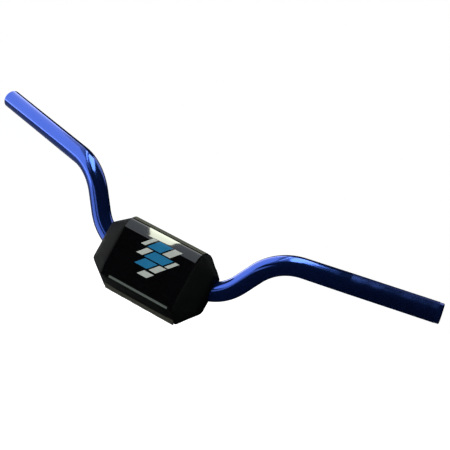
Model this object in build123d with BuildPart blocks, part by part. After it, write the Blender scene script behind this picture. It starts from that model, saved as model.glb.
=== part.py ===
from build123d import *
from math import cos, radians, sin, tan
import os

# Motocross handlebar with a thick centre pad. Sizes are in millimetres.
# The origin is the centre of the clamp zone, +X runs along the clamp axis and +Z is the rise.
# The grips sweep towards +Y, and the glossy face of the pad looks towards -Y.

# Bar tube: one alloy tube of constant diameter, bent four times
tube_diameter = 22.2
tube_wall = 3.0
clamp_flat_length = 97.0
riser_bend_radius = 59.0
riser_angle = 55.5
riser_straight = 22.5
elbow_radius = 62.5
grip_rise = 6.3
grip_sweep = 14.1
grip_length = 150.5
end_chamfer = 0.8

# Pad outline, measured from the bar axis in a frame that leans back by the pitch
pad_pitch = 13.4
panel_half_width = 49.6
end_overhang = 23.0
edge_cover = 5.6
bevel_depth = 10.9
front_height = 21.0
roll_radius = 17.3
front_drop = 36.4
foot_setback = 3.5
bottom_drop = 48.0
end_height = 19.5
end_drop = 24.9
end_taper = 3.4

# Cover: sewn vinyl panels around the foam, open at the back
skin = 1.2
seam_angle = 48.0
back_opening_height = 24.0

# Foam: the channel holds the bar, and a recess each side of the strap clears a clamp
bar_clearance = 0.3
recess_inner = 18.0
recess_outer = 46.5
recess_half_height = 22.0
recess_front_wall = 6.0

# Hook and loop strap behind the bar
strap_width = 30.0
strap_thickness = 1.5
strap_tab = 13.0
strap_corner = 4.0
patch_thickness = 1.0
patch_margin = 1.5
patch_height = 11.0

# Folded hem along the bottom edge of the cover
hem_height = 4.5
hem_thickness = 1.0
hem_inset = 1.5

# Values that follow from the sizes above
tube_radius = tube_diameter / 2
bore_radius = tube_radius - tube_wall
channel_radius = tube_radius + bar_clearance
edge_depth = tube_radius + edge_cover
front_depth = edge_depth + bevel_depth
pad_half_length = panel_half_width + end_overhang
top_height = front_height + roll_radius
far = 3 * bottom_drop

riser_direction = Vector(cos(radians(riser_angle)), 0, sin(radians(riser_angle)))
grip_direction = Vector(
    cos(radians(grip_rise)) * cos(radians(grip_sweep)),
    cos(radians(grip_rise)) * sin(radians(grip_sweep)),
    sin(radians(grip_rise)),
)
elbow_angle = riser_direction.get_angle(grip_direction)
riser_setback = riser_bend_radius * tan(radians(riser_angle / 2))
elbow_setback = elbow_radius * tan(radians(elbow_angle / 2))

# Corners of the centre line before it is rounded, on the right half of the bar
riser_corner = Vector(clamp_flat_length / 2 + riser_setback, 0, 0)
elbow_corner = riser_corner + riser_direction * (riser_setback + riser_straight + elbow_setback)
grip_end = elbow_corner + grip_direction * (elbow_setback + grip_length)

# Points of the pad's middle section: local x runs to the back of the pad, local y up its face
roll_centre = Vector(-front_depth + roll_radius, front_height)
front_foot = Vector(-front_depth + foot_setback, -front_drop)
back_foot = Vector(0, -bottom_drop)
slope = (back_foot - front_foot).normalized()
lower_front = (Vector(-front_depth, -end_drop) - front_foot).normalized()
foot_mitre = (slope + lower_front).normalized()
seam_out = roll_centre + Vector(-cos(radians(seam_angle)), sin(radians(seam_angle))) * far
mitre_out = front_foot - foot_mitre * far
mitre_in = front_foot + foot_mitre * (front_depth / 3)

os.makedirs("parts", exist_ok=True)


def left_of(vector):
    """The mirror image of a point or direction, on the left half of the bar."""
    return Vector(-vector.X, vector.Y, vector.Z)


def pad_plane(station):
    """The plane across the pad at a distance along the bar."""
    pitch = radians(pad_pitch)
    return Plane(origin=(station, 0, 0), x_dir=(0, cos(pitch), -sin(pitch)), z_dir=(1, 0, 0))


def middle_face(inset=0):
    """Section of the pad: flat front, rolled top, flat back, and a bottom that slopes back."""
    with BuildSketch() as section:
        with BuildLine():
            Line((-front_depth, -end_drop), (-front_depth, front_height))
            CenterArc(roll_centre, roll_radius, 180, -90)
            Line((roll_centre.X, top_height), (0, top_height))
            Line((0, top_height), back_foot)
            Line(back_foot, front_foot)
            Line(front_foot, (-front_depth, -end_drop))
        make_face()
        if inset:
            offset(amount=-inset, kind=Kind.INTERSECTION)
    return section.sketch


def facet(*corners):
    """The plane through three corners given as distance along the bar, depth and height."""
    a, b, c = [pad_plane(x).from_local_coords(Vector(depth, height, 0)) for x, depth, height in corners]
    return Plane(origin=a, x_dir=b - a, z_dir=(b - a).cross(c - a))


def end_facets():
    """The flat facets that cut the right end of the pad, each facing outwards."""
    seam = roll_centre + Vector(-cos(radians(seam_angle)), sin(radians(seam_angle))) * roll_radius
    front_up = (panel_half_width, -front_depth, front_height)
    front_low = (panel_half_width, -front_depth, -end_drop)
    foot = (panel_half_width, front_foot.X, front_foot.Y)
    bottom = (panel_half_width, 0, -bottom_drop)
    seam_corner = (panel_half_width, seam.X, seam.Y)
    top_front = (panel_half_width, roll_centre.X, top_height)
    top_back = (panel_half_width, 0, top_height)
    edge_up = (pad_half_length, -edge_depth, end_height)
    edge_low = (pad_half_length, -edge_depth, -end_drop)
    back_low = (pad_half_length, 0, -end_drop + end_taper)
    return [
        facet(front_up, front_low, edge_low),
        facet(front_low, foot, edge_low),
        facet(foot, bottom, edge_low),
        facet(bottom, back_low, edge_low),
        facet(seam_corner, front_up, edge_up),
        facet(top_front, seam_corner, edge_up),
        facet(top_back, top_front, edge_up),
    ]


def pad_form(inset=0):
    """The whole outer form of the pad, or the form inside its cover."""
    with BuildPart() as form:
        with BuildSketch(pad_plane(0)):
            add(middle_face(inset))
        extrude(amount=pad_half_length - inset)
        for plane in end_facets():
            split(bisect_by=plane.offset(-inset), keep=Keep.BOTTOM)
        mirror(about=Plane.YZ)
    return form.part


# Centre line of the whole bar, from the left grip's end to the right one
with BuildLine() as bar_line:
    FilletPolyline(
        left_of(grip_end),
        left_of(elbow_corner),
        left_of(riser_corner),
        riser_corner,
        elbow_corner,
        grip_end,
        radius=[elbow_radius, riser_bend_radius, riser_bend_radius, elbow_radius],
    )
bar_start = Plane(origin=left_of(grip_end), z_dir=left_of(grip_direction) * -1)

# Handlebar tube
with BuildPart() as handlebar_tube:
    with BuildSketch(bar_start):
        Circle(tube_radius)
    sweep(path=bar_line.line)
    with BuildSketch(bar_start):
        Circle(bore_radius)
    sweep(path=bar_line.line, mode=Mode.SUBTRACT)
    rims = handlebar_tube.edges().filter_by(GeomType.CIRCLE).group_by(Axis.X)
    outer_rims = [end_rims.sort_by(SortBy.RADIUS)[-1] for end_rims in (rims[0], rims[-1])]
    chamfer(outer_rims, end_chamfer)
handlebar_tube.part.label = "handlebar_tube"
export_step(handlebar_tube.part, "parts/handlebar_tube.step")

# Space that the bar takes up inside the pad
with BuildPart() as bar_space:
    with BuildSketch(bar_start):
        Circle(channel_radius)
    sweep(path=bar_line.line)

# Foam core
foam_form = pad_form(skin)
recess_depth = front_depth - skin - recess_front_wall
with BuildPart() as foam_core:
    add(foam_form)
    for side in (-1, 1):
        with BuildSketch(pad_plane(side * recess_inner)):
            Rectangle(recess_depth, 2 * recess_half_height, align=(Align.MAX, Align.CENTER))
        extrude(amount=side * (recess_outer - recess_inner), mode=Mode.SUBTRACT)
    add(bar_space.part, mode=Mode.SUBTRACT)
foam_core.part.label = "foam_core"
export_step(foam_core.part, "parts/foam_core.step")

# The cover as one shell, from which the sewn panels are cut
with BuildPart() as cover:
    add(pad_form())
    add(foam_form, mode=Mode.SUBTRACT)
    add(bar_space.part, mode=Mode.SUBTRACT)


def cover_panel(*region):
    """The middle part of the cover that lies inside a region of the pad's section."""
    with BuildPart() as panel:
        with BuildSketch(pad_plane(-panel_half_width)):
            Polygon(*region, align=None)
        extrude(amount=2 * panel_half_width)
        add(cover.part, mode=Mode.INTERSECT)
    return panel.part


# Side panels: a cap of vinyl over each end of the foam, notched for the bar
with BuildPart() as right_side_panel:
    add(cover.part)
    split(bisect_by=Plane.YZ.offset(panel_half_width), keep=Keep.TOP)
right_side_panel.part.label = "right_side_panel"
export_step(right_side_panel.part, "parts/right_side_panel.step")

with BuildPart() as left_side_panel:
    add(cover.part)
    split(bisect_by=Plane.YZ.offset(-panel_half_width), keep=Keep.BOTTOM)
left_side_panel.part.label = "left_side_panel"
export_step(left_side_panel.part, "parts/left_side_panel.step")

# Front panel: the glossy sheet, from the bottom seam to the seam on the rolled top
with BuildPart() as front_panel:
    add(cover_panel(roll_centre, seam_out, mitre_out, mitre_in))
front_panel.part.label = "front_panel"
export_step(front_panel.part, "parts/front_panel.step")

# Top panel: from the seam over the top, and down the back to the edge of the opening
with BuildPart() as top_panel:
    add(cover_panel(roll_centre, seam_out, (far, far), (far, back_opening_height)))
top_panel.part.label = "top_panel"
export_step(top_panel.part, "parts/top_panel.step")

# Bottom panel: the sloping strip under the front, and up the back to the opening
with BuildPart() as bottom_panel:
    opening_edge = Vector(far, -back_opening_height)
    opening_inside = Vector(mitre_in.X, -back_opening_height)
    add(cover_panel(mitre_in, mitre_out, (far, -far), opening_edge, opening_inside))
bottom_panel.part.label = "bottom_panel"
export_step(bottom_panel.part, "parts/bottom_panel.step")

# Bottom hem: a folded strip sewn over the lower edge of the bottom panel
hem_length = 2 * (panel_half_width - hem_inset)
hem_plane = pad_plane(-hem_length / 2)
with BuildPart() as bottom_hem:
    with BuildSketch(hem_plane):
        with BuildLine():
            outward = Vector(slope.Y, -slope.X)
            Polyline(
                back_foot,
                back_foot - slope * hem_height,
                back_foot - slope * hem_height + outward * hem_thickness,
                back_foot + outward * hem_thickness,
                close=True,
            )
        make_face()
    extrude(amount=hem_length)
    long_edges = bottom_hem.edges().filter_by(Axis.X).sort_by(Axis.Z)
    fillet(long_edges[0:2], hem_thickness / 3)
bottom_hem.part.label = "bottom_hem"
export_step(bottom_hem.part, "parts/bottom_hem.step")


def patch_block(depth, width):
    """A flat patch on the lower back of the pad, at a depth behind the cover."""
    with BuildPart() as block:
        with BuildSketch(pad_plane(-width / 2)):
            with Locations((depth, -back_opening_height - patch_margin)):
                Rectangle(patch_thickness, patch_height, align=(Align.MIN, Align.MAX))
        extrude(amount=width)
    return block.part


# Loop patch: sewn to the back of the bottom panel
with BuildPart() as loop_patch:
    add(patch_block(0, strap_width))
loop_patch.part.label = "loop_patch"
export_step(loop_patch.part, "parts/loop_patch.step")

# Hook patch: sewn inside the free end of the strap, and pressed on the loop patch
with BuildPart() as hook_patch:
    add(patch_block(patch_thickness, strap_width - 2 * patch_margin))
hook_patch.part.label = "hook_patch"
export_step(hook_patch.part, "parts/hook_patch.step")


def strap_hull(radius, *ends):
    """The taut outline that runs from the top panel round the bar to the bottom panel."""
    with BuildSketch() as hull:
        with BuildLine():
            CenterArc((0, 0), radius, 0, 360)
            Polyline(*ends)
        make_hull()
    return hull.sketch


# Strap: sewn to the top panel, round the back of the bar, and down over the two patches
patch_stack = 2 * patch_thickness
strap_top = Vector(0, back_opening_height)
strap_foot = Vector(patch_stack, -back_opening_height)
thickness = Vector(strap_thickness, 0)
with BuildPart() as strap:
    with BuildSketch(pad_plane(-strap_width / 2)):
        strap_ends = (strap_top, strap_top + thickness, strap_foot + thickness, strap_foot)
        add(strap_hull(tube_radius + strap_thickness, *strap_ends))
        add(strap_hull(tube_radius, strap_top, strap_foot), mode=Mode.SUBTRACT)
        pad_side = (strap_top, (-far, strap_top.Y), (-far, strap_foot.Y), strap_foot)
        Polygon(*pad_side, align=None, mode=Mode.SUBTRACT)
        with Locations(strap_top):
            Rectangle(strap_thickness, strap_tab, align=(Align.MIN, Align.MIN))
        with Locations(strap_foot):
            Rectangle(strap_thickness, strap_tab, align=(Align.MIN, Align.MAX))
    extrude(amount=strap_width)
    across = strap.edges().filter_by(Axis((0, 0, 0), pad_plane(0).x_dir)).sort_by(Axis.Z)
    fillet(across[:2] + across[-2:], strap_corner)
strap.part.label = "strap"
export_step(strap.part, "parts/strap.step")
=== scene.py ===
import math

import bmesh
import bpy
from mathutils import Matrix, Quaternion, Vector


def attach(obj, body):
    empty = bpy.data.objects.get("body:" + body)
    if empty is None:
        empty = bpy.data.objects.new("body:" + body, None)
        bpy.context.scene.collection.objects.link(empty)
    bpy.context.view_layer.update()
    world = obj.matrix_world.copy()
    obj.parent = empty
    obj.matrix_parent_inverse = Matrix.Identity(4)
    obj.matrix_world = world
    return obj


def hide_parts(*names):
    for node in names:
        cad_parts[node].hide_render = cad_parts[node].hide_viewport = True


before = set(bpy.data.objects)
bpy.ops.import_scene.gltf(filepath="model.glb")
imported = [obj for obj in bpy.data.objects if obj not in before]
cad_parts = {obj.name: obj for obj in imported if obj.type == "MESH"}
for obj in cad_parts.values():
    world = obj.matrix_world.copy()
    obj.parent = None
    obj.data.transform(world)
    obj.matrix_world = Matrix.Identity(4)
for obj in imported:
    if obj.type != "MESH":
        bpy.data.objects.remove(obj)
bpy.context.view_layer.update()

# Camera: the photograph was taken from the front right, a little above the bar, with a long lens
# that is turned a few degrees about its own axis.
camera = bpy.data.objects.new("camera", bpy.data.cameras.new("camera"))
bpy.context.scene.collection.objects.link(camera)
camera.data.sensor_width = 36
camera.data.lens = 105.41
camera.location = (0.66078, -1.26984, 0.29623)
camera.rotation_mode = "QUATERNION"
camera.rotation_quaternion = Quaternion((0.69336, 0.64997, 0.01614, 0.31070)).normalized()
bpy.context.scene.camera = camera
bpy.context.scene.view_settings.view_transform = "Standard"

# Studio: a wide softbox on the left, with fainter strips along its lower and rear edges, over a pale
# floor well under the bar. A black drape round the front, the right and overhead, and a black carpet
# on the floor, show only in the gloss. Lengths in this section and the next are in metres.
white = (1, 1, 1, 1)
fill_strength = 0.3
floor_half = 2.4
floor_height = -0.33
floor_lift = 0.75
drape_radius = 3.0
carpet_height = -0.32
carpet_clear = 0.45
carpet_cells = 60


def lamp(name, place, width, height, power):
    """A rectangular lamp on the left, which faces straight across the bar."""
    light = bpy.data.lights.new(name, "AREA")
    light.shape = "RECTANGLE"
    light.size = width
    light.size_y = height
    light.energy = power
    holder = bpy.data.objects.new(name, light)
    bpy.context.scene.collection.objects.link(holder)
    holder.location = place
    holder.rotation_euler = Vector((1, 0, 0)).to_track_quat("-Z", "Y").to_euler()


lamp("left_softbox", (-1.25, -0.217, 0.575), width=2.53, height=1.85, power=18.4)
lamp("lower_edge", (-1.24, -0.30, -0.30), width=1.9, height=0.12, power=2.2)
lamp("side_edge", (-1.24, 1.00, 0.575), width=0.12, height=1.85, power=2.2)
lamp("side_glow", (-1.245, 0.72, 0.575), width=0.50, height=1.85, power=1.5)


def light_source(tree, kind, colour, strength):
    """A background or an emission of one colour and strength."""
    node = tree.nodes.new(kind)
    node.inputs["Color"].default_value = colour
    node.inputs["Strength"].default_value = strength
    return node.outputs[0]


def show_by_ray(tree, unseen, seen, output):
    """Gives camera, glossy and transmission rays the seen shader, and all others the unseen one."""
    path = tree.nodes.new("ShaderNodeLightPath")
    factor = path.outputs["Is Camera Ray"]
    for ray in ("Is Glossy Ray", "Is Transmission Ray"):
        either = tree.nodes.new("ShaderNodeMath")
        either.operation = "MAXIMUM"
        tree.links.new(factor, either.inputs[0])
        tree.links.new(path.outputs[ray], either.inputs[1])
        factor = either.outputs[0]
    choice = tree.nodes.new("ShaderNodeMixShader")
    tree.links.new(factor, choice.inputs[0])
    tree.links.new(unseen, choice.inputs[1])
    tree.links.new(seen, choice.inputs[2])
    tree.links.new(choice.outputs[0], tree.nodes.new(output).inputs[0])


def new_material(name, values=None):
    """A material, its node tree and its shader, with the values that are the same all over."""
    material = bpy.data.materials.new(name)
    material.use_nodes = True
    skin = material.node_tree.nodes["Principled BSDF"]
    for socket, value in (values or {}).items():
        skin.inputs[socket].default_value = value
    return material, material.node_tree, skin


def placed(name, mesh, *materials):
    """Turns a finished bmesh into an object of the scene."""
    thing = bpy.data.objects.new(name, bpy.data.meshes.new(name))
    mesh.to_mesh(thing.data)
    mesh.free()
    bpy.context.scene.collection.objects.link(thing)
    for material in materials:
        thing.data.materials.append(material)
    return thing


world = bpy.data.worlds.new("studio")
bpy.context.scene.world = world
world.use_nodes = True
tree = world.node_tree
tree.nodes.clear()
fill = light_source(tree, "ShaderNodeBackground", (0.9, 0.95, 1, 1), fill_strength)
backdrop = light_source(tree, "ShaderNodeBackground", white, 1.0)
show_by_ray(tree, fill, backdrop, "ShaderNodeOutputWorld")

paper, tree = new_material("white_paper")[:2]
tree.nodes.clear()
matt = tree.nodes.new("ShaderNodeBsdfDiffuse")
matt.inputs["Color"].default_value = (0.85, 0.85, 0.85, 1)
lifted = tree.nodes.new("ShaderNodeAddShader")
tree.links.new(matt.outputs[0], lifted.inputs[0])
tree.links.new(light_source(tree, "ShaderNodeEmission", white, floor_lift), lifted.inputs[1])
show_by_ray(tree, matt.outputs[0], lifted.outputs[0], "ShaderNodeOutputMaterial")
floor_mesh = bmesh.new()
bmesh.ops.create_grid(floor_mesh, x_segments=1, y_segments=1, size=floor_half)
bmesh.ops.translate(floor_mesh, vec=(0, 0, floor_height), verts=floor_mesh.verts)
floor = placed("floor", floor_mesh, paper)

# The gaps in the drape and the carpet are in degrees: bearings from straight ahead, below zero to the
# left, and heights from level. The left gap lets in the lamps, and the back one the pale backdrop.
left_gap_end = -136
left_gap_top = 67
low_gap_start = -40
level_gap_start = -12
level_foot, level_top = -12, 4
high_gap_start = -28
high_foot = 20
back_gap_start = 160
back_foot, back_top = 28, 65
carpet_gap_end, carpet_gap_start = -138, -40


def bearing_of(point):
    """The side of the bar that a point is on."""
    return math.degrees(math.atan2(point.x, -point.y))


def in_drape_gap(direction):
    """Whether the drape is open in a direction from the bar."""
    bearing = bearing_of(direction)
    height = math.degrees(math.asin(direction.z))
    if level_foot < height < level_top:
        gap_start = level_gap_start
    else:
        gap_start = high_gap_start if height > high_foot else low_gap_start
    left_gap = left_gap_end < bearing < gap_start and height < left_gap_top
    return left_gap or (abs(bearing) > back_gap_start and back_foot < height < back_top)


drape_mesh = bmesh.new()
bmesh.ops.create_icosphere(drape_mesh, subdivisions=6, radius=drape_radius)
open_faces = [face for face in drape_mesh.faces if in_drape_gap(face.calc_center_median().normalized())]
bmesh.ops.delete(drape_mesh, geom=open_faces, context="FACES")
carpet = bmesh.ops.create_grid(
    drape_mesh, x_segments=carpet_cells, y_segments=carpet_cells, size=floor_half,
    matrix=Matrix.Translation((0, 0, carpet_height)),
)
open_faces = []
for face in {face for vert in carpet["verts"] for face in vert.link_faces}:
    centre = face.calc_center_median()
    if centre.length > carpet_clear and carpet_gap_end < bearing_of(centre) < carpet_gap_start:
        open_faces.append(face)
bmesh.ops.delete(drape_mesh, geom=open_faces, context="FACES")
black_cloth = new_material("black_cloth", {
    "Base Color": (0.003, 0.003, 0.0035, 1), "Roughness": 1.0, "Specular IOR Level": 0.0,
})[0]
drape = placed("black_drape", drape_mesh, black_cloth)
drape.visible_camera = drape.visible_diffuse = drape.visible_shadow = False

# Cards: two bright window panes over the bar with a grey card behind them, which the roll of the pad
# and the right elbow mirror, and a grey card on the floor for the underside of the left grip.
# Each has its height, its strength and its outline from above.
pane_height = 1.0
pane_tint = (0.95, 1, 0.82, 1)
grey_card_height = 1.03
floor_card_height = -0.315
card_tint = (0.82, 0.90, 1, 1)


def bowed_side(nearest, middle, bow, easing, start, stop, steps=16):
    """A side of the roll's pane: it bows away from the pad, so that the round roll mirrors it straight."""
    side = []
    for step in range(steps + 1):
        y = start + (stop - start) * step / steps
        square = (y - middle) ** 2
        side.append((nearest - bow * square / (1 + easing * square), y))
    return side


cards = {
    "roll_pane": (pane_height, 6.6, (
        bowed_side(nearest=-0.534, middle=-0.03, bow=0.262, easing=0.165, start=0.40, stop=-1.14)
        + bowed_side(nearest=-0.470, middle=0.025, bow=0.234, easing=0.06, start=-0.86, stop=0.40)
    )),
    "elbow_pane": (pane_height, 7.0, [
        (-0.41, 0.30), (-0.40, -0.20), (-0.285, -0.94), (-0.07, -0.72), (0.0, -0.44), (-0.11, 0.15),
        (-0.24, 0.50), (-0.34, 0.36),
    ]),
    "grey_card": (grey_card_height, 0.5, [
        (-0.66, 0.15), (-0.66, -0.30), (-0.85, -0.95), (-1.50, -2.30), (-1.05, -2.30), (-0.60, -1.05),
        (-0.40, -0.30), (-0.40, 0.15),
    ]),
    "floor_card": (floor_card_height, 0.26, [
        (-1.15, -0.40), (-0.85, -0.22), (-0.60, -0.02), (-0.30, 0.05), (-0.30, 0.35), (-1.15, 1.10),
    ]),
}
for name, (height, strength, outline) in cards.items():
    card_mesh = bmesh.new()
    card_mesh.faces.new([card_mesh.verts.new((x, y, height)) for x, y in outline])
    bmesh.ops.triangulate(card_mesh, faces=card_mesh.faces)
    shine, tree = new_material(name)[:2]
    tree.nodes.clear()
    is_pane = height == pane_height
    glow = light_source(tree, "ShaderNodeEmission", pane_tint if is_pane else card_tint, strength)
    tree.links.new(glow, tree.nodes.new("ShaderNodeOutputMaterial").inputs[0])
    card = placed(name, card_mesh, shine)
    card.visible_camera = False
    card.visible_diffuse = card.visible_shadow = is_pane

# Bar tube: one alloy tube, bent four times and anodised bright blue. The left grip end is smooth, and
# the right one is knurled so that a glued hand grip can't turn. Both ends are chamfered and open.
mm = 0.001
tube_radius = 11.1 * mm
bore_radius = 8.1 * mm
rim_chamfer = 0.8 * mm
flat_length = 97 * mm
riser_bend = 59 * mm
riser_straight = 22.5 * mm
elbow_bend = 62.5 * mm
grip_length = 150.5 * mm
riser_angle = math.radians(55.5)
grip_rise = math.radians(6.3)
grip_sweep = math.radians(14.1)
knurl_start = 51.5 * mm
knurl_pitch = 1.1 * mm
knurl_rows = 86
knurl_peak = 0.30 * mm
knurl_valley = 0.30 * mm
plain_rim = 3 * mm
tube_sides = 64
bend_steps = 22
weld = 0.01 * mm

along_bar = Vector((1, 0, 0))
riser_up = Vector((math.cos(riser_angle), 0, math.sin(riser_angle)))
riser_down = Vector((riser_up.x, 0, -riser_up.z))
level_run = math.cos(grip_rise)
grip_out = Vector((level_run * math.cos(grip_sweep), level_run * math.sin(grip_sweep), math.sin(grip_rise)))
grip_in = Vector((grip_out.x, -grip_out.y, -grip_out.z))


def edges_of(parts):
    return [part for part in parts if isinstance(part, bmesh.types.BMEdge)]


def draw_on(mesh, edges, move, steps=1):
    """Draws a line of edges on into a sheet, in equal steps, and gives its last edges."""
    for step in range(steps):
        made = bmesh.ops.extrude_edge_only(mesh, edges=edges)["geom"]
        fresh = {part for part in made if isinstance(part, bmesh.types.BMVert)}
        edges = [edge for edge in edges_of(made) if fresh.issuperset(edge.verts)]
        bmesh.ops.translate(mesh, vec=move, verts=list(fresh))
    return edges


class BarWalk:
    """A ring of the tube, carried along the bar and drawn out or bent as the real one is."""

    def __init__(self, mesh, radius, place, heading):
        self.mesh, self.place, self.heading = mesh, place.copy(), heading.copy()
        made = bmesh.ops.create_circle(mesh, segments=tube_sides, radius=radius, matrix=self.stand())
        self.ring = list({edge for vert in made["verts"] for edge in vert.link_edges})
        self.first = list(self.ring)

    def stand(self):
        turn = self.heading.to_track_quat("Z", "Y").to_matrix().to_4x4()
        return Matrix.Translation(self.place) @ turn

    def verts(self):
        return list({vert for edge in self.ring for vert in edge.verts})

    def draw_out(self, length):
        self.ring = draw_on(self.mesh, self.ring, self.heading * length)
        self.place += self.heading * length

    def widen(self, factor, verts=None):
        stand = self.stand().inverted()
        bmesh.ops.scale(self.mesh, vec=(factor, factor, 1), space=stand, verts=verts or self.verts())

    def bend(self, heading, radius):
        axis = self.heading.cross(heading).normalized()
        centre = self.place + axis.cross(self.heading) * radius
        angle = self.heading.angle(heading)
        made = bmesh.ops.spin(
            self.mesh, geom=self.ring, cent=centre, axis=axis, angle=angle, steps=bend_steps,
            use_duplicate=False,
        )["geom_last"]
        self.ring = edges_of(made)
        self.place = centre + Quaternion(axis, angle) @ (self.place - centre)
        self.heading = heading.copy()

    def around(self):
        """The ring's vertices, one after the other."""
        edge, wanted, ordered = self.ring[0], set(self.ring), []
        vert = edge.verts[0]
        while len(ordered) < len(self.ring):
            ordered.append(vert)
            vert = edge.other_vert(vert)
            edge = next(other for other in vert.link_edges if other in wanted and other is not edge)
        return ordered

    def reach(self, vert):
        """A vertex's distance from the tube's axis."""
        arm = vert.co - self.place
        return (arm - self.heading * arm.dot(self.heading)).length

    def knurl(self, radius):
        """Rows of small pyramids, rolled into the tube."""
        low, high = radius - knurl_valley, radius + knurl_peak
        self.widen(low / radius)
        self.widen(high / low, self.around()[1::2])
        for row in range(knurl_rows):
            self.draw_out(knurl_pitch)
            verts = self.verts()
            raised = [vert for vert in verts if self.reach(vert) > radius]
            sunk = [vert for vert in verts if self.reach(vert) <= radius]
            self.widen(low / high, raised)
            self.widen(high / low, sunk)
        self.widen(radius / low, raised)
        self.widen(radius / high, sunk)


def bar_run(mesh, radius, chamfer=0, knurled=False):
    """The tube's wall at one radius, from the left grip's end to the right one."""
    walk = BarWalk(mesh, radius - chamfer, left_end, grip_in)
    if chamfer:
        walk.draw_out(chamfer)
        walk.widen(radius / (radius - chamfer))
    walk.draw_out(grip_length - chamfer)
    walk.bend(riser_down, elbow_bend)
    walk.draw_out(riser_straight)
    walk.bend(along_bar, riser_bend)
    walk.draw_out(flat_length)
    walk.bend(riser_up, riser_bend)
    walk.draw_out(riser_straight)
    walk.bend(grip_out, elbow_bend)
    if knurled:
        walk.draw_out(knurl_start)
        walk.knurl(radius)
        walk.draw_out(grip_length - knurl_start - knurl_rows * knurl_pitch - chamfer)
    else:
        walk.draw_out(grip_length - chamfer)
    if chamfer:
        walk.draw_out(chamfer)
        walk.widen((radius - chamfer) / radius)
    return walk


def shade_smooth(mesh):
    for face in mesh.faces:
        face.smooth = True


def keep_crisp(mesh, angle):
    """Shades the edges that turn by more than an angle, in degrees, as sharp ones."""
    for edge in mesh.edges:
        edge.smooth = edge.calc_face_angle(0) < math.radians(angle)


def new_piece(name, mesh, material, slot, *stands_for):
    """Turns a finished bmesh into a piece of the object."""
    piece = placed(name, mesh, material)
    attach(piece, "root")
    if stands_for:
        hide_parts(*stands_for)
    return piece


def noise(tree, scale, detail=2, stretch=(1, 1, 1)):
    """Object-space noise, optionally drawn out along an axis."""
    place = tree.nodes.new("ShaderNodeTexCoord")
    mapping = tree.nodes.new("ShaderNodeMapping")
    mapping.inputs["Scale"].default_value = stretch
    texture = tree.nodes.new("ShaderNodeTexNoise")
    texture.inputs["Scale"].default_value = scale
    texture.inputs["Detail"].default_value = detail
    tree.links.new(place.outputs["Object"], mapping.inputs[0])
    tree.links.new(mapping.outputs[0], texture.inputs["Vector"])
    return texture.outputs[0]


def ramp(tree, factor, low, high, start=0.0, end=1.0):
    """A colour or grey that runs from low to high with a factor."""
    node = tree.nodes.new("ShaderNodeValToRGB")
    for element, position, colour in zip(node.color_ramp.elements, (start, end), (low, high)):
        element.position = position
        element.color = (*colour, 1) if isinstance(colour, tuple) else (colour, colour, colour, 1)
    tree.links.new(factor, node.inputs[0])
    return node.outputs[0]


def mottle(tree, socket, low, high, scale, detail, start=0.0, end=1.0, stretch=(1, 1, 1)):
    """Lets a shader's socket wander between two colours or greys over the surface."""
    tree.links.new(ramp(tree, noise(tree, scale, detail, stretch), low, high, start, end), socket)


def bump(tree, height, strength, distance, under=None):
    """A bump of some depth in metres, on top of another bump where there is one."""
    node = tree.nodes.new("ShaderNodeBump")
    node.inputs["Strength"].default_value = strength
    node.inputs["Distance"].default_value = distance
    tree.links.new(height, node.inputs["Height"])
    if under:
        tree.links.new(under, node.inputs["Normal"])
    return node.outputs[0]


riser_setback = riser_bend * math.tan(riser_angle / 2)
elbow_setback = elbow_bend * math.tan(riser_up.angle(grip_out) / 2)
riser_corner = Vector((flat_length / 2 + riser_setback, 0, 0))
elbow_corner = riser_corner + riser_up * (riser_setback + riser_straight + elbow_setback)
right_end = elbow_corner + grip_out * (elbow_setback + grip_length)
left_end = Vector((-right_end.x, right_end.y, right_end.z))

anodised, tree, skin = new_material("blue_anodised_alloy", {
    "Metallic": 0.9, "Coat Weight": 0.25, "Coat Roughness": 0.04,
})
# The blue darkens towards the grazing rims. This is partly the dye's longer path through the layer and partly
# painted shade.
facing = tree.nodes.new("ShaderNodeLayerWeight")
facing.inputs["Blend"].default_value = 0.35
dye = ramp(tree, noise(tree, 14, 3), (0.021, 0.062, 0.34), (0.025, 0.070, 0.38), 0.3, 0.7)
rim_shade = tree.nodes.new("ShaderNodeMix")
rim_shade.data_type = "RGBA"
tree.links.new(facing.outputs["Facing"], rim_shade.inputs["Factor"])
tree.links.new(dye, rim_shade.inputs["A"])
rim_shade.inputs["B"].default_value = (0.018, 0.048, 0.30, 1)
tree.links.new(rim_shade.outputs["Result"], skin.inputs["Base Color"])
mottle(tree, skin.inputs["Roughness"], 0.09, 0.13, 60, 4, 0.35, 0.65)
tree.links.new(bump(tree, noise(tree, 900, 2, (0.08, 1, 1)), 0.02, 0.0001), skin.inputs["Normal"])

knurled, tree, skin = new_material("blue_knurled_alloy", {"Metallic": 0.85})
mottle(tree, skin.inputs["Base Color"], (0.011, 0.030, 0.18), (0.016, 0.044, 0.24), 26, 3, 0.3, 0.7)
mottle(tree, skin.inputs["Roughness"], 0.20, 0.32, 60, 4, 0.35, 0.65)

tube = bmesh.new()
outside = bar_run(tube, tube_radius, rim_chamfer, knurled=True)
inside = bar_run(tube, bore_radius)
bmesh.ops.bridge_loops(tube, edges=outside.first + inside.first)
bmesh.ops.bridge_loops(tube, edges=outside.ring + inside.ring)
bmesh.ops.remove_doubles(tube, verts=tube.verts, dist=weld)
bmesh.ops.recalc_face_normals(tube, faces=tube.faces)
shade_smooth(tube)
keep_crisp(tube, 28)
for face in tube.faces:
    arm = face.calc_center_median() - right_end
    along = -arm.dot(grip_out)
    out = (arm + grip_out * along).length
    if out > bore_radius + 1 * mm and plain_rim < along < grip_length - knurl_start:
        face.material_index = 1
bar = new_piece("bar_tube", tube, anodised, "anodised_alloy", "handlebar_tube")
bar.data.materials.append(knurled)

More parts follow.
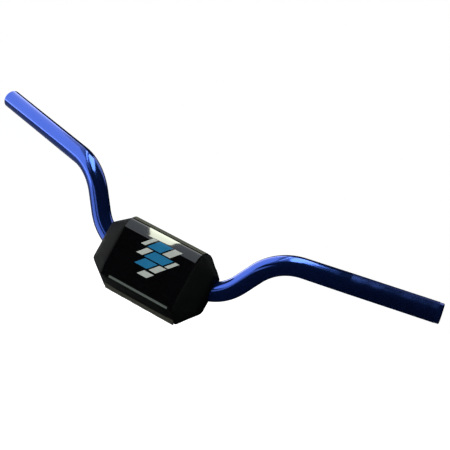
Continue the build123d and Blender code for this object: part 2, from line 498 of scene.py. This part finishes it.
# Pad: a foam block with its cover of sewn vinyl, leaning back with the bar. It is made upright here,
# with its depth along y and its height along z, and turned to the bar's lean when it is done.
pad_lean = math.radians(13.4)
panel_half = 49.6 * mm
end_overhang = 23 * mm
front_depth = 27.6 * mm
edge_depth = 16.7 * mm
front_height = 21 * mm
roll_radius = 17.3 * mm
front_drop = 36.4 * mm
foot_setback = 3.5 * mm
bottom_drop = 48 * mm
end_height = 19.5 * mm
end_drop = 24.9 * mm
end_taper = 3.4 * mm
vinyl = 1.2 * mm
seam_angle = math.radians(48)
opening_top = 21.2 * mm
opening_foot = -24 * mm

pad_half = panel_half + end_overhang
top_height = front_height + roll_radius
lean = Matrix.Rotation(-pad_lean, 4, "X")
roll_y, roll_z = -front_depth + roll_radius, front_height
seam_y = roll_y - roll_radius * math.cos(seam_angle)
seam_z = roll_z + roll_radius * math.sin(seam_angle)
foot_y, foot_z = -front_depth + foot_setback, -front_drop


def slice_plane(mesh, place, normal, slack, clear_outer=False):
    """Divides a mesh along a plane, and gives the edges of the cut."""
    everything = mesh.verts[:] + mesh.edges[:] + mesh.faces[:]
    made = bmesh.ops.bisect_plane(
        mesh, geom=everything, plane_co=place, plane_no=normal, clear_outer=clear_outer, dist=slack
    )
    return edges_of(made["geom_cut"])


def cut(mesh, corners):
    """A flat cut through three corners, closed again where it opens the block."""
    a, b, c = (Vector(corner) for corner in corners)
    edges = slice_plane(mesh, a, (b - a).cross(c - a).normalized(), 0.001 * mm, clear_outer=True)
    bmesh.ops.edgenet_fill(mesh, edges=edges)


def flip(corners):
    """The same cut on the left end of the pad."""
    return [(-x, y, z) for x, y, z in reversed(corners)]


front_up = (panel_half, -front_depth, front_height)
front_low = (panel_half, -front_depth, -end_drop)
foot = (panel_half, foot_y, foot_z)
bottom = (panel_half, 0, -bottom_drop)
seam_corner = (panel_half, seam_y, seam_z)
top_front = (panel_half, roll_y, top_height)
top_back = (panel_half, 0, top_height)
edge_up = (pad_half, -edge_depth, end_height)
edge_low = (pad_half, -edge_depth, -end_drop)
back_low = (pad_half, 0, -end_drop + end_taper)
end_cuts = [
    (front_up, front_low, edge_low),
    (front_low, foot, edge_low),
    (foot, bottom, edge_low),
    (bottom, back_low, edge_low),
    (seam_corner, front_up, edge_up),
    (top_front, seam_corner, edge_up),
    (top_back, top_front, edge_up),
]


def pad_block():
    """The pad's sharp outer form, before the cover is pulled over it."""
    block = bmesh.new()
    start = block.verts.new((-pad_half, -front_depth, front_height))
    previous = bmesh.ops.spin(
        block, geom=[start], cent=(-pad_half, roll_y, roll_z), axis=along_bar, angle=-math.pi / 2, steps=10,
        use_duplicate=False,
    )["geom_last"][0]
    for y, z in ((0, top_height), (0, -bottom_drop), (foot_y, foot_z), (-front_depth, -end_drop)):
        corner = block.verts.new((-pad_half, y, z))
        block.edges.new((previous, corner))
        previous = corner
    block.edges.new((previous, start))
    bmesh.ops.contextual_create(block, geom=block.edges[:])
    grown = bmesh.ops.extrude_face_region(block, geom=block.faces[:])["geom"]
    verts = [part for part in grown if isinstance(part, bmesh.types.BMVert)]
    bmesh.ops.translate(block, vec=(2 * pad_half, 0, 0), verts=verts)
    bmesh.ops.recalc_face_normals(block, faces=block.faces)
    for corners in end_cuts:
        cut(block, corners)
        cut(block, flip(corners))
    bmesh.ops.dissolve_limit(block, angle_limit=math.radians(1), verts=block.verts, edges=block.edges)
    bmesh.ops.recalc_face_normals(block, faces=block.faces)
    return block


def settled(piece):
    """Bakes a piece's modifiers into its mesh."""
    graph = bpy.context.evaluated_depsgraph_get()
    mesh = bpy.data.meshes.new_from_object(piece.evaluated_get(graph))
    piece.modifiers.clear()
    piece.data = mesh


def straight(a, b):
    """A seam between two corners, ready for seam_distance."""
    a, b = Vector(a), Vector(b)
    return a, b - a, (b - a).length_squared


def seam_distance(point, lines):
    """The distance from a point to the nearest of some straight seams."""
    best = 1.0
    for a, span, length_squared in lines:
        t = min(1.0, max(0.0, (point - a).dot(span) / length_squared))
        best = min(best, (point - a - span * t).length_squared)
    return math.sqrt(best)


# The block is remeshed evenly, and air under the cover swells it a little between its seams and folds.
voxel = 2.1 * mm
sewn_reach = 0.9 * voxel
sewn_back = 1.5 * mm
fold_angle = math.radians(11)
air_pressure = 4
air_steps = 12
taut_crown = 0.25 * mm
soft_crown = 1.8 * mm

block = pad_block()
fold_lines = []
for edge in block.edges:
    outermost = max(abs(vert.co.x) for vert in edge.verts)
    if edge.calc_face_angle(0) > fold_angle and outermost < panel_half + 0.1 * mm:
        fold_lines.append(straight(edge.verts[0].co, edge.verts[1].co))
for x in (-panel_half, panel_half):
    fold_lines.append(straight((x, -front_depth, -end_drop), (x, -front_depth, front_height)))
fold_lines.append(straight((-panel_half, seam_y, seam_z), (panel_half, seam_y, seam_z)))

stuffed = placed("stuffed", block)
remesh = stuffed.modifiers.new("even", "REMESH")
remesh.mode = "VOXEL"
remesh.voxel_size = voxel
settled(stuffed)
before = [vert.co.copy() for vert in stuffed.data.vertices]
sewn = stuffed.vertex_groups.new(name="sewn")
for vert in stuffed.data.vertices:
    if vert.co.y > -sewn_back or seam_distance(vert.co, fold_lines) < sewn_reach:
        sewn.add([vert.index], 1.0, "REPLACE")
cloth = stuffed.modifiers.new("air", "CLOTH")
cloth.settings.vertex_group_mass = "sewn"
cloth.settings.use_pressure = True
cloth.settings.uniform_pressure_force = air_pressure
cloth.settings.effector_weights.gravity = 0
for step in range(1, air_steps + 1):
    bpy.context.scene.frame_set(step)
settled(stuffed)
for vert, rest in zip(stuffed.data.vertices, before):
    move = vert.co - rest
    crown = taut_crown if abs(rest.x) < panel_half and rest.y < roll_y else soft_crown
    if move.length > crown:
        vert.co = rest + move.normalized() * crown
bpy.context.scene.frame_set(1)


def cell_pattern(tree, scale, feature="F1"):
    """Small cells on the surface, by the distance from their middles or their edges."""
    place = tree.nodes.new("ShaderNodeTexCoord")
    texture = tree.nodes.new("ShaderNodeTexVoronoi")
    texture.feature = feature
    texture.inputs["Scale"].default_value = scale
    tree.links.new(place.outputs["Object"], texture.inputs["Vector"])
    return texture.outputs[0]


def vinyl_bump(tree, strength):
    """Embossed leather grain: small rounded cells with fine creases between them."""
    grain = ramp(tree, cell_pattern(tree, 900, "DISTANCE_TO_EDGE"), 0.0, 1.0, 0.0, 0.12)
    first = bump(tree, grain, strength, 0.0002)
    return bump(tree, noise(tree, 160, 3), strength * 0.6, 0.0006, first)


matte_vinyl, tree, skin = new_material("matte_black_vinyl", {"Specular IOR Level": 0.05})
mottle(tree, skin.inputs["Base Color"], (0.002, 0.0025, 0.003), (0.005, 0.0055, 0.006), 45, 4)
mottle(tree, skin.inputs["Roughness"], 0.48, 0.62, 90, 3)
tree.links.new(vinyl_bump(tree, 0.25), skin.inputs["Normal"])

olive_dark, olive_light = (0.046, 0.046, 0.034), (0.068, 0.068, 0.052)
olive_vinyl, tree, skin = new_material("dark_olive_vinyl", {"Specular IOR Level": 0.16})
mottle(tree, skin.inputs["Base Color"], olive_dark, olive_light, 45, 4)
mottle(tree, skin.inputs["Roughness"], 0.55, 0.68, 90, 3)
tree.links.new(vinyl_bump(tree, 0.2), skin.inputs["Normal"])

gloss_vinyl, tree, skin = new_material("gloss_black_vinyl", {
    "IOR": 1.7, "Coat Weight": 1.0, "Coat IOR": 1.6, "Coat Roughness": 0.02,
})
mottle(tree, skin.inputs["Base Color"], (0.0015, 0.0015, 0.002), (0.003, 0.003, 0.004), 30, 3)
mottle(tree, skin.inputs["Roughness"], 0.030, 0.036, 70, 3)

# The stuffed form is smoothed, pulled taut in front and cut along the seams, and each part becomes one
# sewn panel of vinyl. The extra cuts beside the top seam give its groove and its black strip of painted seam
# shade clean edges.
smooth_rounds = 10
smooth_rounds_in_front = 2
side_seam = panel_half - 0.8 * mm
soft_start = panel_half + 2 * mm
taut_end = side_seam + 0.6 * mm
taut_foot = foot_z + 1 * mm
groove_inset = 0.9 * mm
back_start = -2 * mm
seam_shade_turn = 7.0
groove_turns = (-4.4, -2.2, 2.2, 4.4)
fold_width = 10 * mm

form = bmesh.new()
form.from_mesh(stuffed.data)
bpy.data.objects.remove(stuffed)
bmesh.ops.subdivide_edges(form, edges=form.edges, cuts=1, use_grid_fill=True, smooth=0)
for step in range(smooth_rounds):
    soft = form.verts
    if step >= smooth_rounds_in_front:
        soft = [vert for vert in form.verts if abs(vert.co.x) > soft_start]
    bmesh.ops.smooth_vert(form, verts=soft, factor=0.5, use_axis_x=True, use_axis_y=True, use_axis_z=True)
roll_centre = Vector((0, roll_y, roll_z))
for vert in form.verts:
    x, y, z = vert.co
    if abs(x) < taut_end and y < roll_y and z > taut_foot:
        fall = max(0.0, (-end_drop - z) / (front_drop - end_drop))
        if z > front_height:
            arm = Vector((0, y, z)) - roll_centre
            vert.co = Vector((x, 0, 0)) + roll_centre + arm.normalized() * roll_radius
        else:
            vert.co.y = -front_depth + foot_setback * fall

upwards = Vector((0, 0, 1))
foot_point = Vector((0, foot_y, foot_z))
bottom_point = Vector((0, 0, -bottom_drop))
foot_fold = (bottom_point - foot_point).normalized()
front_fold = (Vector((0, -front_depth, -end_drop)) - foot_point).normalized()
mitre = (foot_fold + front_fold).normalized()
seam_line = Vector((0, -math.cos(seam_angle), math.sin(seam_angle)))
top_cut = (roll_centre, seam_line.cross(along_bar))
foot_cut = (foot_point, mitre.cross(along_bar))
fold_cut = (bottom_point - foot_fold * fold_width, foot_fold)
seams = [
    (Vector((side_seam, 0, 0)), along_bar),
    (Vector((-side_seam, 0, 0)), along_bar),
    top_cut,
    foot_cut,
    (Vector((0, 0, opening_top)), upwards),
    (Vector((0, 0, opening_foot)), upwards),
]
for turn in (*groove_turns, seam_shade_turn):
    near_seam = Matrix.Rotation(math.radians(-turn), 3, "X") @ seam_line
    seams.append((roll_centre, near_seam.cross(along_bar)))
seams.append(fold_cut)
for place, normal in seams:
    slice_plane(form, place, normal, 0.1 * mm)
form.normal_update()


def beyond(point, plane):
    """Whether a point is on the far side of a cut."""
    place, normal = plane
    return (point - place).dot(normal) > 0


def panel_of(face):
    """The sewn panel that a face of the stuffed form belongs to: none in front and at the open back."""
    centre = face.calc_center_median()
    if centre.x > side_seam:
        return "right_side_cover"
    if centre.x < -side_seam:
        return "left_side_cover"
    if centre.y > back_start and opening_foot < centre.z < opening_top:
        return None
    if centre.z > 0 and (beyond(centre, top_cut) or centre.y > roll_y):
        return "top_cover"
    if centre.z < 0 and (beyond(centre, foot_cut) or centre.y > foot_y / 2):
        return "bottom_cover"
    return None


def press_groove(lines, reach, depth):
    """Presses the stuffed form in along its seams."""
    for vert in form.verts:
        near = seam_distance(vert.co, lines) / reach
        if near < 1:
            vert.co -= vert.normal * depth * (1 - near * near) ** 2


other_seams = [straight((-side_seam, foot_y, foot_z), (side_seam, foot_y, foot_z))]
for x in (-side_seam - groove_inset, side_seam + groove_inset):
    other_seams.append(straight((x, -front_depth, -end_drop), (x, -front_depth, front_height)))
    other_seams.append(straight((x, seam_y, seam_z), (x, -front_depth, front_height)))
    other_seams.append(straight((x, foot_y, foot_z), (x, -front_depth, -end_drop)))
top_seam = [straight((-side_seam, seam_y, seam_z), (side_seam, seam_y, seam_z))]
press_groove(top_seam, reach=1.3 * mm, depth=1.5 * mm)
press_groove(other_seams, reach=0.9 * mm, depth=0.35 * mm)


def vinyl_piece(name, mesh, material, slot, node, crisp_angle):
    """A sheet of vinyl, turned to the bar's lean, with its thickness inwards and its thin rims crisp."""
    shade_smooth(mesh)
    bmesh.ops.transform(mesh, matrix=lean, verts=mesh.verts)
    piece = new_piece(name, mesh, material, slot, node)
    wall = piece.modifiers.new("vinyl", "SOLIDIFY")
    wall.thickness = vinyl
    wall.offset = -1
    settled(piece)
    sheet = bmesh.new()
    sheet.from_mesh(piece.data)
    keep_crisp(sheet, crisp_angle)
    sheet.to_mesh(piece.data)
    sheet.free()
    return piece


def sewn_panel(name, material, node):
    """One matte panel of the cover, cut from the stuffed form."""
    panel = form.copy()
    away = [face for face in panel.faces if panel_of(face) != name]
    bmesh.ops.delete(panel, geom=away, context="FACES")
    return vinyl_piece(name, panel, material, "matte_vinyl", node, crisp_angle=35)


# The front panel is one sheet of gloss vinyl, drawn taut over the roll and turned in at both seams.
front_columns = 48
front_rows = 10
flat_run = 8 * mm
foot_tuck = 0.2 * mm
sheet = bmesh.new()
roll_foot = sheet.verts.new((-side_seam, -front_depth, front_height))
roll_head = bmesh.ops.spin(
    sheet, geom=[roll_foot], cent=(-side_seam, roll_y, roll_z), axis=along_bar, angle=-seam_angle, steps=24,
    use_duplicate=False,
)["geom_last"][0]
tuck = seam_line * (roll_radius - vinyl) + roll_centre
sheet.edges.new((roll_head, sheet.verts.new((-side_seam, tuck.y, tuck.z))))
previous = roll_foot
for y, z in ((-front_depth, -end_drop), (foot_y, foot_z), (foot_y + vinyl, foot_z + foot_tuck)):
    corner = sheet.verts.new((-side_seam, y, z))
    sheet.edges.new((previous, corner))
    previous = corner
flat_edges = [edge for edge in sheet.edges if edge.calc_length() > flat_run]
bmesh.ops.subdivide_edges(sheet, edges=flat_edges, cuts=front_rows - 1)
draw_on(sheet, sheet.edges[:], along_bar * (2 * side_seam / front_columns), front_columns)
bmesh.ops.recalc_face_normals(sheet, faces=sheet.faces)
if sum(face.normal.y for face in sheet.faces) > 0:
    bmesh.ops.reverse_faces(sheet, faces=sheet.faces)
front_cover = vinyl_piece("front_cover", sheet, gloss_vinyl, "gloss_vinyl", "front_panel", crisp_angle=12)
top_cover = sewn_panel("top_cover", olive_vinyl, "top_panel")
bottom_cover = sewn_panel("bottom_cover", matte_vinyl, "bottom_panel")

# Painted seam shade: the top panel's faces along its seam take the black vinyl. The bottom panel has a pale
# fold at its lower edge.
upright = lean.inverted()
# Painted seam shade: faces within a few degrees of the top seam get the matte black vinyl, which stands in
# for the groove's shadow.
top_cover.data.materials.append(matte_vinyl)
for face in top_cover.data.polygons:
    arm = upright @ face.center - roll_centre
    if arm.y < 0 and math.atan2(arm.z, -arm.y) < seam_angle + math.radians(seam_shade_turn):
        face.material_index = 1
bottom_cover.data.materials.append(olive_vinyl)
for face in bottom_cover.data.polygons:
    centre = upright @ face.center
    if beyond(centre, fold_cut) and centre.y < -1 * mm:
        face.material_index = 1
right_cover = sewn_panel("right_side_cover", matte_vinyl, "right_side_panel")
left_cover = sewn_panel("left_side_cover", matte_vinyl, "left_side_panel")
form.free()

# The side panels are notched for the bar, with the same clearance as the foam's channel.
bar_clearance = 0.3 * mm
channel = bmesh.new()
bar_room = bar_run(channel, tube_radius + bar_clearance)
bmesh.ops.holes_fill(channel, edges=bar_room.first + bar_room.ring)
bmesh.ops.recalc_face_normals(channel, faces=channel.faces)
bar_space = placed("bar_space", channel)
for cover in (right_cover, left_cover):
    notch = cover.modifiers.new("notch", "BOOLEAN")
    notch.object = bar_space
    notch.operation = "DIFFERENCE"
    settled(cover)
bpy.data.objects.remove(bar_space)

# Foam core: a block of closed-cell foam under the cover, with a channel for the bar and two recesses
# that clear the clamps. It shows only at the open back.
foam_voxel = 1.4 * mm
foam_stuff, tree, skin = new_material("closed_cell_foam", {"Roughness": 0.9, "Specular IOR Level": 0.25})
mottle(tree, skin.inputs["Base Color"], (0.020, 0.020, 0.022), (0.040, 0.040, 0.043), 120, 4)
tree.links.new(bump(tree, cell_pattern(tree, 700), 0.5, 0.0004), skin.inputs["Normal"])
foam = bmesh.new()
foam.from_mesh(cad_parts["foam_core"].data)
bmesh.ops.remove_doubles(foam, verts=foam.verts, dist=weld)
foam_block = new_piece("foam_block", foam, foam_stuff, "foam", "foam_core")
remesh = foam_block.modifiers.new("even", "REMESH")
remesh.mode = "VOXEL"
remesh.voxel_size = foam_voxel
soften = foam_block.modifiers.new("soften", "SMOOTH")
soften.iterations = 2
settled(foam_block)
foam_block.data.materials.clear()
foam_block.data.materials.append(foam_stuff)

# Bottom hem: a strip of the vinyl, folded over the lower edge of the bottom panel, which keeps that
# edge straight and pale in front. One row of thread stitches holds it.
hem_height = 4.5 * mm
hem_thickness = 1.0 * mm
hem_half = panel_half - 1.5 * mm
hem_sink = 0.2 * mm
hem_rounding = 0.45 * mm
hem_ripple = 0.12 * mm
short_wave, long_wave = 3.3 * mm, 11 * mm
out_of_bottom = Vector((0, foot_fold.z, -foot_fold.y))
hem_centre = bottom_point - foot_fold * hem_height / 2 + out_of_bottom * (hem_thickness / 2 - hem_sink)
hem_turn = Matrix((along_bar, foot_fold, out_of_bottom)).transposed().to_4x4()


def long_edges(mesh):
    """The hem's edges that run its whole length."""
    return [edge for edge in mesh.edges if abs(edge.verts[0].co.x - edge.verts[1].co.x) > hem_half]


hem = bmesh.new()
bmesh.ops.create_cube(hem, size=1)
bmesh.ops.scale(hem, vec=(2 * hem_half, hem_height, hem_thickness), verts=hem.verts)
bmesh.ops.bevel(
    hem, geom=long_edges(hem), offset=hem_rounding, segments=4, affect="EDGES", profile=0.5, material=-1
)
bmesh.ops.subdivide_edges(hem, edges=long_edges(hem), cuts=60)
for vert in hem.verts:
    vert.co.z += hem_ripple * math.sin(vert.co.x / short_wave) * math.sin(vert.co.x / long_wave)
shade_smooth(hem)
bmesh.ops.transform(hem, matrix=lean @ Matrix.Translation(hem_centre) @ hem_turn, verts=hem.verts)
hem_vinyl, tree, skin = new_material("folded_hem_vinyl", {"Roughness": 0.55})
mottle(tree, skin.inputs["Base Color"], olive_dark, olive_light, 60, 4)
tree.links.new(vinyl_bump(tree, 0.2), skin.inputs["Normal"])
hem_piece = new_piece("bottom_hem_fold", hem, hem_vinyl, "matte_vinyl", "bottom_hem")

twist = (0.3, 1, 1)
thread, tree, skin = new_material("polyester_thread", {"Roughness": 0.6})
thread_dark, thread_light = (0.03, 0.032, 0.028), (0.09, 0.092, 0.08)
mottle(tree, skin.inputs["Base Color"], thread_dark, thread_light, 2500, 2, stretch=twist)
tree.links.new(bump(tree, noise(tree, 3000, 1, twist), 0.5, 0.0002), skin.inputs["Normal"])


def stitch_row(mesh, start, finish, out, pitch=3.2 * mm, stitch=2.3 * mm, thickness=0.32 * mm):
    """A row of short thread stitches that lie on a panel, from one point to another."""
    run = finish - start
    count = max(1, round(run.length / pitch))
    turn = Matrix((run.normalized(), out.cross(run.normalized()), out)).transposed().to_4x4()
    for index in range(count):
        middle = start + run * (index + 0.5) / count
        made = bmesh.ops.create_uvsphere(mesh, u_segments=8, v_segments=6, radius=thickness)["verts"]
        bmesh.ops.rotate(mesh, cent=(0, 0, 0), matrix=Matrix.Rotation(math.pi / 2, 3, "Y"), verts=made)
        bmesh.ops.scale(mesh, vec=(stitch / 2 / thickness, 1, 0.8), verts=made)
        bmesh.ops.transform(mesh, matrix=Matrix.Translation(middle) @ turn, verts=made)


def thread_piece(name, mesh, slot):
    """Turns rows of stitches into a piece, at the pad's lean."""
    shade_smooth(mesh)
    bmesh.ops.transform(mesh, matrix=lean, verts=mesh.verts)
    new_piece(name, mesh, thread, slot)


stitches = bmesh.new()
hem_face = hem_centre + out_of_bottom * hem_thickness / 2
stitch_row(stitches, hem_face - along_bar * hem_half, hem_face + along_bar * hem_half, out_of_bottom)
thread_piece("hem_stitching", stitches, "matte_vinyl")

# Strap: a length of webbing sewn to the top panel, drawn round the back of the bar and pressed down
# on the hook and loop patches. Its free end has rounded corners.
strap_width = 30 * mm
strap_thickness = 1.5 * mm
pressed_thickness = strap_thickness * 0.96
strap_tab = 13 * mm
strap_reach = 24 * mm
strap_corner = 4 * mm
strap_cells = 12
patch_stack = 2 * mm
weave_scale = 320
middle_radius = tube_radius + strap_thickness / 2
strap_top = Vector((0, strap_thickness / 2, strap_reach))
strap_foot = Vector((0, patch_stack + strap_thickness / 2, -strap_reach))
leave_top = math.atan2(strap_top.z, strap_top.y) - math.acos(middle_radius / strap_top.length)
leave_foot = math.atan2(strap_foot.z, strap_foot.y) + math.acos(middle_radius / strap_foot.length)

webbing, tree, skin = new_material("woven_webbing", {"Roughness": 0.75})
place = tree.nodes.new("ShaderNodeTexCoord")
cross = tree.nodes.new("ShaderNodeMath")
cross.operation = "MULTIPLY"
for socket, direction in enumerate(("X", "Z")):
    yarn = tree.nodes.new("ShaderNodeTexWave")
    yarn.bands_direction = direction
    yarn.inputs["Scale"].default_value = weave_scale
    tree.links.new(place.outputs["Object"], yarn.inputs["Vector"])
    tree.links.new(yarn.outputs[1], cross.inputs[socket])
weave = ramp(tree, cross.outputs[0], (0.008, 0.008, 0.009), (0.026, 0.026, 0.028))
tree.links.new(weave, skin.inputs["Base Color"])
tree.links.new(bump(tree, cross.outputs[0], 0.6, 0.0003), skin.inputs["Normal"])

band = bmesh.new()
bmesh.ops.create_grid(band, x_segments=strap_cells, y_segments=1, size=0.5)
bmesh.ops.delete(band, geom=[vert for vert in band.verts if vert.co.y > 0], context="VERTS")
bmesh.ops.scale(band, vec=(strap_width, 0, 0), verts=band.verts)
bmesh.ops.translate(band, vec=strap_top + upwards * strap_tab, verts=band.verts)


def draw_band(edges, target, steps):
    """Draws the webbing straight on to a point of the strap's line."""
    move = target - edges[0].verts[0].co
    move.x = 0
    return draw_on(band, edges, move / steps, steps)


front_line = draw_band(band.edges[:], strap_top, 6)
on_bar = Vector((0, math.cos(leave_top), math.sin(leave_top))) * middle_radius
front_line = draw_band(front_line, on_bar, 10)
made = bmesh.ops.spin(
    band, geom=front_line, cent=(0, 0, 0), axis=along_bar, angle=leave_foot - leave_top, steps=12,
    use_duplicate=False,
)["geom_last"]
front_line = draw_band(edges_of(made), strap_foot, 10)
draw_band(front_line, strap_foot - upwards * strap_tab, 6)
for vert in band.verts:
    for end in (strap_top.z + strap_tab, strap_foot.z - strap_tab):
        inward_z = abs(end) - abs(vert.co.z)
        over_x = abs(vert.co.x) - (strap_width / 2 - strap_corner)
        if end * vert.co.z > 0 and inward_z < strap_corner and over_x > 0:
            reach = math.sqrt(max(0.0, strap_corner**2 - (strap_corner - inward_z) ** 2))
            vert.co.x = math.copysign(strap_width / 2 - strap_corner + min(over_x, reach), vert.co.x)
bmesh.ops.remove_doubles(band, verts=band.verts, dist=0.05 * mm)
bmesh.ops.recalc_face_normals(band, faces=band.faces)
shade_smooth(band)
bmesh.ops.transform(band, matrix=lean, verts=band.verts)
strap = new_piece("strap_webbing", band, webbing, "strap_web", "strap")
wall = strap.modifiers.new("webbing", "SOLIDIFY")
wall.thickness = pressed_thickness
wall.offset = 0
soften = strap.modifiers.new("edges", "BEVEL")
soften.width = 0.35 * mm
soften.segments = 2
soften.limit_method = "ANGLE"
settled(strap)

# The strap's tab is sewn down with a box of stitches and a cross in it.
box_side = strap_width / 2 - 2.5 * mm
box_foot = strap_reach + 2 * mm
box_top = strap_reach + strap_tab - 2 * mm
box_outline = ((-box_side, box_foot), (box_side, box_foot), (box_side, box_top), (-box_side, box_top))
corners = [Vector((x, strap_thickness, z)) for x, z in box_outline]
backwards = Vector((0, 1, 0))
box_stitch = bmesh.new()
for first, last in ((0, 1), (1, 2), (2, 3), (3, 0), (0, 2), (1, 3)):
    ends = corners[first], corners[last]
    stitch_row(box_stitch, *ends, backwards, pitch=2.8 * mm, stitch=2.0 * mm, thickness=0.3 * mm)
thread_piece("strap_stitching", box_stitch, "strap_web")

# Hook and loop patches: a loop patch sewn to the bottom panel, and a hook patch sewn inside the
# strap's free end. Each is a thin woven tape with a pile on its face.
patch_height = 11 * mm
patch_thickness = 1.0 * mm
patch_margin = 1.5 * mm
pile, tree, skin = new_material("hook_and_loop_pile", {"Roughness": 0.95})
tufts = cell_pattern(tree, 1400)
tree.links.new(ramp(tree, tufts, (0.022, 0.022, 0.024), (0.006, 0.006, 0.007)), skin.inputs["Base Color"])
tree.links.new(bump(tree, tufts, 0.8, 0.0004), skin.inputs["Normal"])


def tape_patch(name, slot, node, depth, width):
    """A patch of tape on the lower back of the pad, with softened edges."""
    patch = bmesh.new()
    bmesh.ops.create_cube(patch, size=1)
    bmesh.ops.scale(patch, vec=(width, patch_thickness, patch_height), verts=patch.verts)
    bmesh.ops.bevel(
        patch, geom=patch.edges[:], offset=0.3 * mm, segments=2, affect="EDGES", profile=0.5, material=-1
    )
    middle = Vector((0, depth + patch_thickness / 2, -strap_reach - patch_margin - patch_height / 2))
    bmesh.ops.transform(patch, matrix=lean @ Matrix.Translation(middle), verts=patch.verts)
    shade_smooth(patch)
    new_piece(name, patch, pile, slot, node)


tape_patch("loop_tape", "loop_tape", "loop_patch", 0, strap_width)
tape_patch("hook_tape", "hook_tape", "hook_patch", patch_thickness, strap_width - 2 * patch_margin)

# Print on the front: a plain design of angled bars round a teal lozenge, and a thin line below it,
# laid on the gloss vinyl as a transfer. The outlines are in millimetres along the bar and up.
ink_lift = 0.06 * mm
ink_cell = 2.0 * mm
ink_start = -front_depth - 2 * mm
inks = {
    "teal_ink": ((0.010, 0.13, 0.30), (0.016, 0.19, 0.40), {"Roughness": 0.25, "Specular IOR Level": 0.3}),
    "pale_grey_ink": ((0.42, 0.44, 0.43), (0.54, 0.56, 0.55), {"Roughness": 0.25, "Specular IOR Level": 0.3}),
    "grey_line_ink": ((0.09, 0.11, 0.10), (0.13, 0.155, 0.145), {"Roughness": 0.3}),
}
prints = {
    "print_teal": ("teal_ink", [
        [(-12, 14), (-1, 25), (17, 25), (6, 14)],
        [(-10, 3), (-0.5, 12.5), (25, 12.5), (15.5, 3)],
        [(-17, -8), (-7.5, 1.5), (10, 1.5), (0.5, -8)],
    ]),
    "print_pale": ("pale_grey_ink", [
        [(-21, 14), (-10, 25), (-4, 25), (-15, 14)],
        [(-21, 3), (-11.5, 12.5), (-3, 12.5), (-12.5, 3)],
        [(8.5, 14), (19.5, 25), (30, 25), (19, 14)],
        [(18, 3), (27.5, 12.5), (33, 12.5), (23.5, 3)],
        [(3, -8), (12.5, 1.5), (22, 1.5), (12.5, -8)],
        [(-8, -17), (-1.5, -10.5), (12, -10.5), (5.5, -17)],
    ]),
    "print_line": ("grey_line_ink", [
        [(-38, -36.0), (43, -36.0), (43, -33.5), (-38, -33.5)],
    ]),
}


def lay_print(name, mesh, ink):
    """Lays the ink on the front panel, a hair above the vinyl."""
    for axis, reach in ((0, panel_half), (2, top_height)):
        for index in range(-int(reach / ink_cell), int(reach / ink_cell) + 1):
            place, normal = Vector(), Vector()
            place[axis], normal[axis] = index * ink_cell, 1
            slice_plane(mesh, place, normal, 0.01 * mm)
    bmesh.ops.triangulate(mesh, faces=mesh.faces)
    bmesh.ops.transform(mesh, matrix=lean, verts=mesh.verts)
    towards_pad = (lean @ Vector((0, 1, 0))).normalized()
    for vert in mesh.verts:
        hit, place, normal, index = front_cover.ray_cast(vert.co, towards_pad)
        if hit:
            vert.co = place - towards_pad * ink_lift
    bmesh.ops.recalc_face_normals(mesh, faces=mesh.faces)
    shade_smooth(mesh)
    new_piece(name, mesh, ink, "gloss_vinyl")


for name, (ink_name, outlines) in prints.items():
    low, high, finish = inks[ink_name]
    ink, tree, skin = new_material(ink_name, finish)
    mottle(tree, skin.inputs["Base Color"], low, high, 60, 4)
    mesh = bmesh.new()
    for outline in outlines:
        mesh.faces.new([mesh.verts.new((x * mm, ink_start, z * mm)) for x, z in outline])
        bmesh.ops.triangulate(mesh, faces=mesh.faces)
    lay_print(name, mesh, ink)
